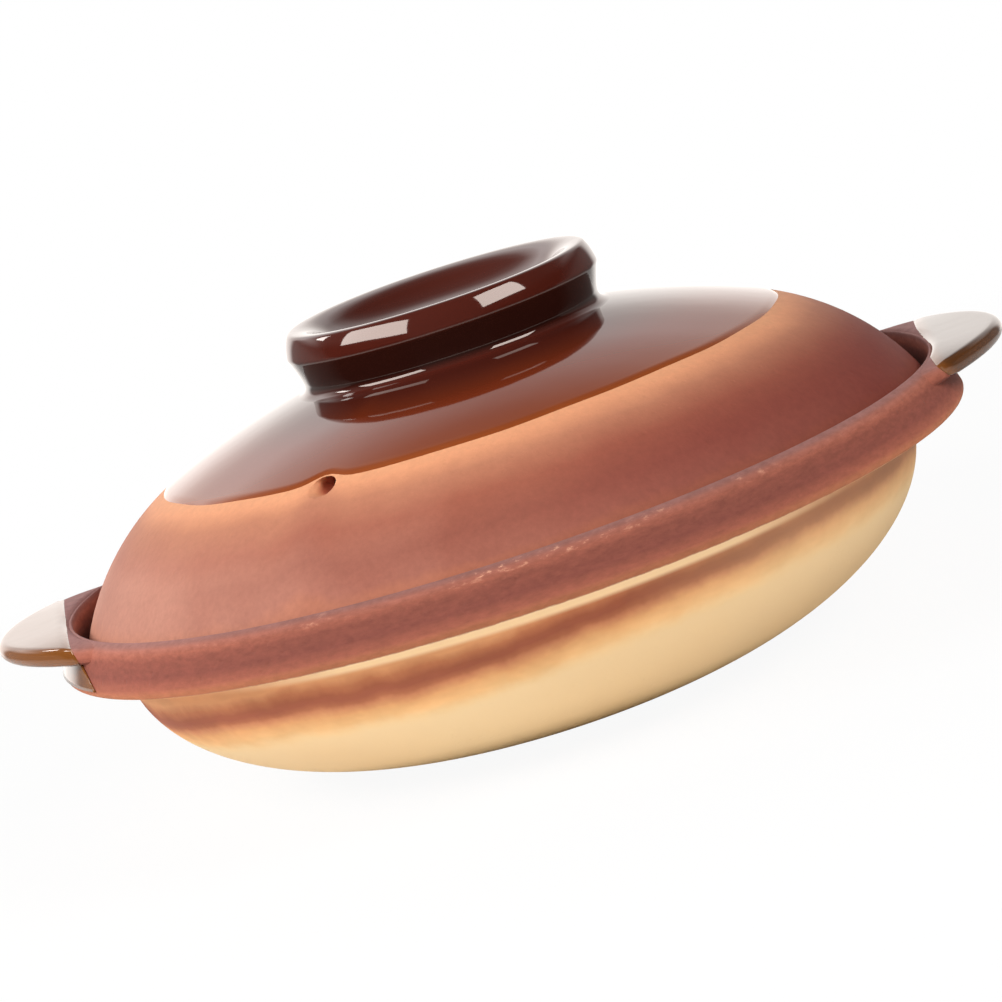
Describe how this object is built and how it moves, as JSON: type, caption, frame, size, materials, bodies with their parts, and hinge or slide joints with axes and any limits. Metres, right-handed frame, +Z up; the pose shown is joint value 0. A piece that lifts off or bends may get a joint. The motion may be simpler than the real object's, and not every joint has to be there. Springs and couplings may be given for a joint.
{
  "type": "lidded clay casserole",
  "caption": "Wide thrown clay bowl with a flared rim band and flat side lugs, and a domed lift-off lid with a wide dished knob and a steam hole, part dark gloss glaze.",
  "frame": {"origin": "centre of the flat base, on the surface that the pot stands on", "axes": "+Z up, +X through the right lug, -Y towards the side that the steam hole is on"},
  "size_m": [0.2932, 0.2632, 0.1213],
  "materials": {
    "bowl_clay": "matte cream stoneware, with a red-brown iron wash on the rim band",
    "lug_clay": "matte, iron wash",
    "lid_clay": "matte red-brown iron wash",
    "dark_glaze": "high gloss, dark red-brown, amber where it is thin"
  },
  "bodies": {
    "pot": {"pot_bowl": "bowl_clay", "left_lug": "lug_clay", "right_lug": "lug_clay", "bowl_inside_glaze": "dark_glaze", "left_lug_glaze": "dark_glaze", "right_lug_glaze": "dark_glaze"},
    "lid": {"lid_dome": "lid_clay", "lid_knob": "lid_clay", "lid_outer_glaze": "dark_glaze", "lid_underside_glaze": "dark_glaze", "knob_glaze": "dark_glaze"}
  },
  "joints": [
    {"name": "lid_lift", "type": "slide", "parent": "pot", "child": "lid", "axis": [0, 0, 1], "range_m": [0, 0.12]}
  ]
}
